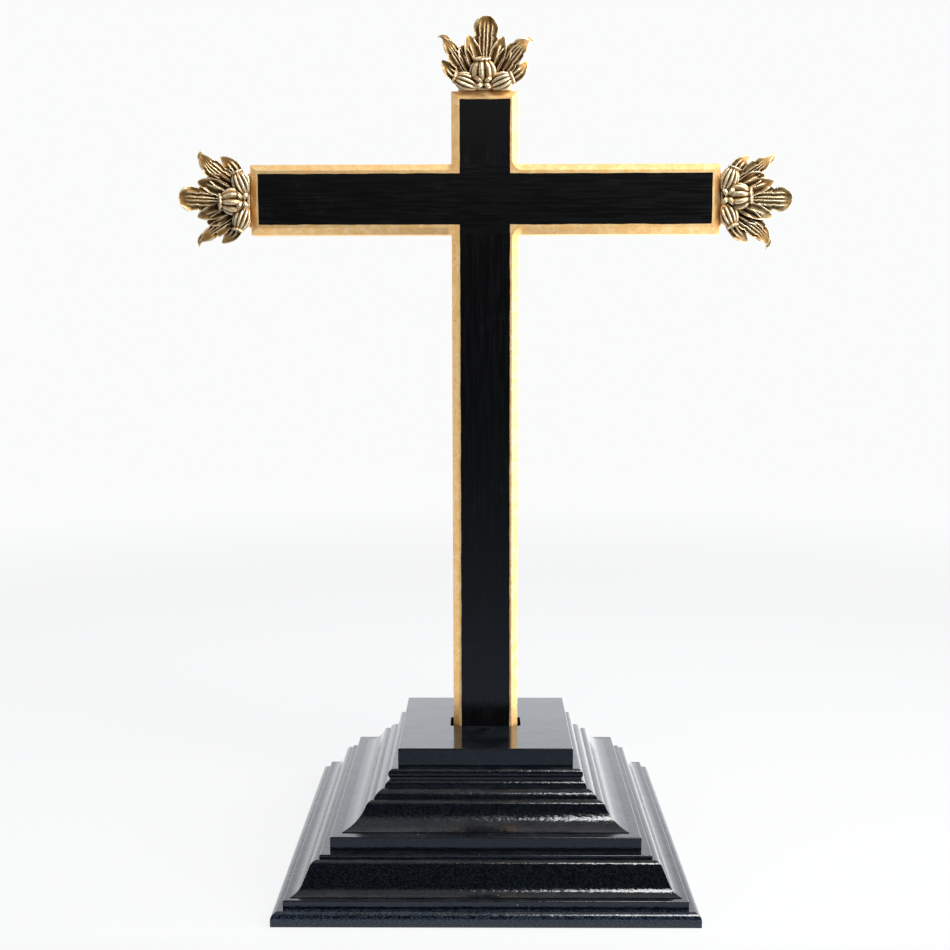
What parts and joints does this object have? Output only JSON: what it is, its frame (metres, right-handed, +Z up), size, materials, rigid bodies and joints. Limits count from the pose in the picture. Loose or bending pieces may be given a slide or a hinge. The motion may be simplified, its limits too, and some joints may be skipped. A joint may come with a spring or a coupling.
{
  "type": "altar cross",
  "caption": "Free-standing Latin cross of chamfered ebonised wood with gilt edges and leaf finials, lifting out of a square stepped and moulded plinth.",
  "frame": {"origin": "centre of the underside of the plinth, where it stands", "axes": "+Z up along the upright, +X along the beam to the viewer's right, -Y to the front face of the cross"},
  "size_m": [0.403, 0.26, 0.5589],
  "materials": {
    "black_lacquer": "gloss black lacquer on turned and planed wood",
    "black_and_gilt": "satin black paint on the face, aged gold leaf on the chamfers and edges",
    "aged_gilt_brass": "antique gilt, dark in the recesses",
    "raw_pine": "bare planed softwood",
    "screw_steel": "plain",
    "baize": "pressed wool baize"
  },
  "bodies": {
    "plinth": {"base_felt": "baize", "base_board": "black_lacquer", "base_screws": "screw_steel", "corner_block_front_left": "raw_pine", "corner_block_front_right": "raw_pine", "corner_block_rear_left": "raw_pine", "corner_block_rear_right": "raw_pine", "lower_moulding_front": "black_lacquer", "lower_moulding_rear": "black_lacquer", "lower_moulding_left": "black_lacquer", "lower_moulding_right": "black_lacquer", "deck_board": "raw_pine", "deck_screws": "screw_steel", "upper_moulding_front": "black_lacquer", "upper_moulding_rear": "black_lacquer", "upper_moulding_left": "black_lacquer", "upper_moulding_right": "black_lacquer", "socket_block": "raw_pine", "neck_board": "black_lacquer", "top_block": "black_lacquer"},
    "cross": {"cross_upright": "black_and_gilt", "cross_beam": "black_and_gilt", "finial_top": "aged_gilt_brass", "finial_left": "aged_gilt_brass", "finial_right": "aged_gilt_brass", "finial_stud_top": "screw_steel", "finial_stud_left": "screw_steel", "finial_stud_right": "screw_steel"}
  },
  "joints": [
    {"name": "cross_lift", "type": "slide", "parent": "plinth", "child": "cross", "axis": [0, 0, 1], "range_m": [0, 0.06]}
  ]
}
